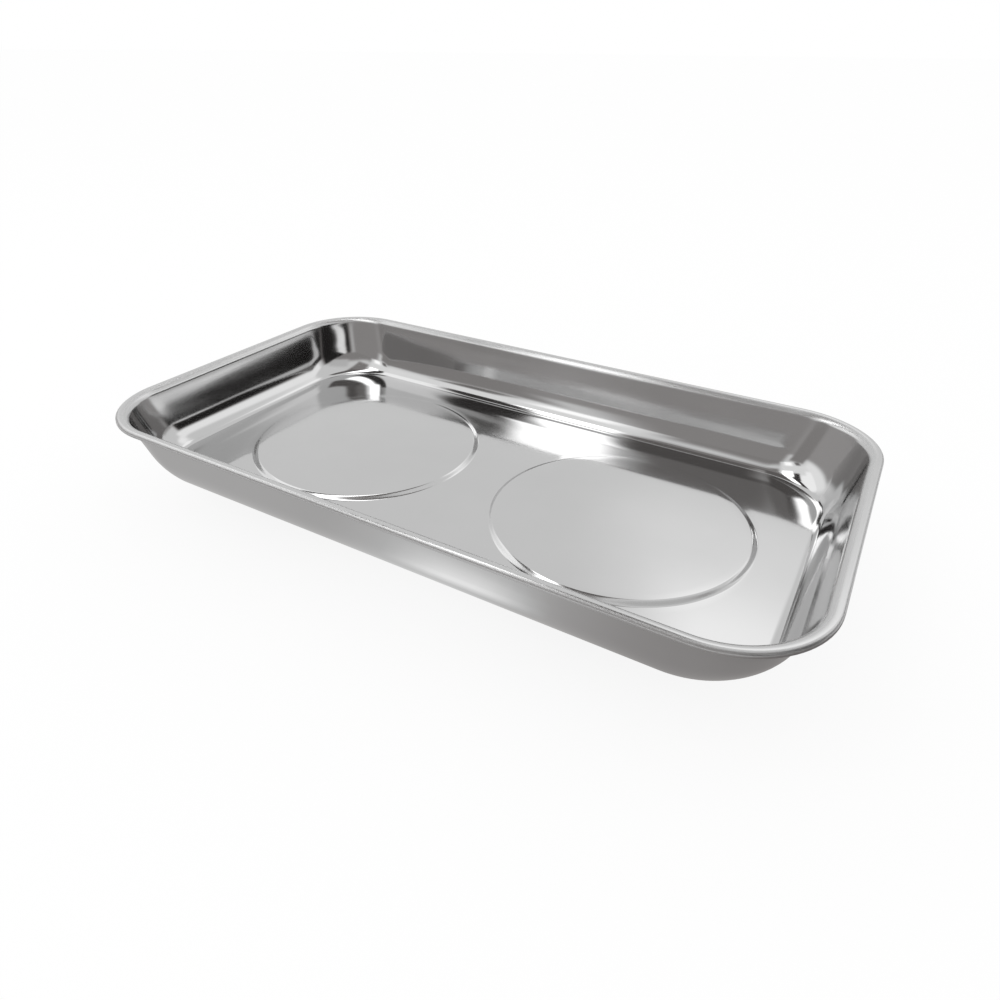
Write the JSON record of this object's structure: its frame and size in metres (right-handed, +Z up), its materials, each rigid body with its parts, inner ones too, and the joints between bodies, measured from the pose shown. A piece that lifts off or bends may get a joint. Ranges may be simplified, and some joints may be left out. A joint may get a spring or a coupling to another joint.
{
  "type": "magnetic parts tray",
  "caption": "Shallow rectangular parts tray of pressed stainless steel with rounded corners and a turned-out rim, standing on rubber-booted ring magnets under raised floor discs.",
  "frame": {"origin": "on the bench, under the middle of the tray", "axes": "+X along the tray's long side, +Y across it, +Z up"},
  "size_m": [0.24, 0.138, 0.0351],
  "materials": {
    "polished_stainless": "polished, fine drawn grain",
    "black_rubber": "moulded, matte",
    "ferrite": "sintered, matte",
    "zinc_plated_steel": "bright zinc plating",
    "spring_steel": "plain, satin",
    "foam_pad": "closed-cell foam"
  },
  "bodies": {
    "root": {"tray_pan": "polished_stainless", "left_weld_stud": "zinc_plated_steel", "right_weld_stud": "zinc_plated_steel", "left_cushion_pad": "foam_pad", "right_cushion_pad": "foam_pad", "left_ring_magnet": "ferrite", "right_ring_magnet": "ferrite", "left_retaining_cup": "zinc_plated_steel", "right_retaining_cup": "zinc_plated_steel", "left_flat_washer": "zinc_plated_steel", "right_flat_washer": "zinc_plated_steel", "left_lock_washer": "spring_steel", "right_lock_washer": "spring_steel", "left_hex_nut": "zinc_plated_steel", "right_hex_nut": "zinc_plated_steel", "left_rubber_boot": "black_rubber", "right_rubber_boot": "black_rubber"}
  },
  "joints": []
}
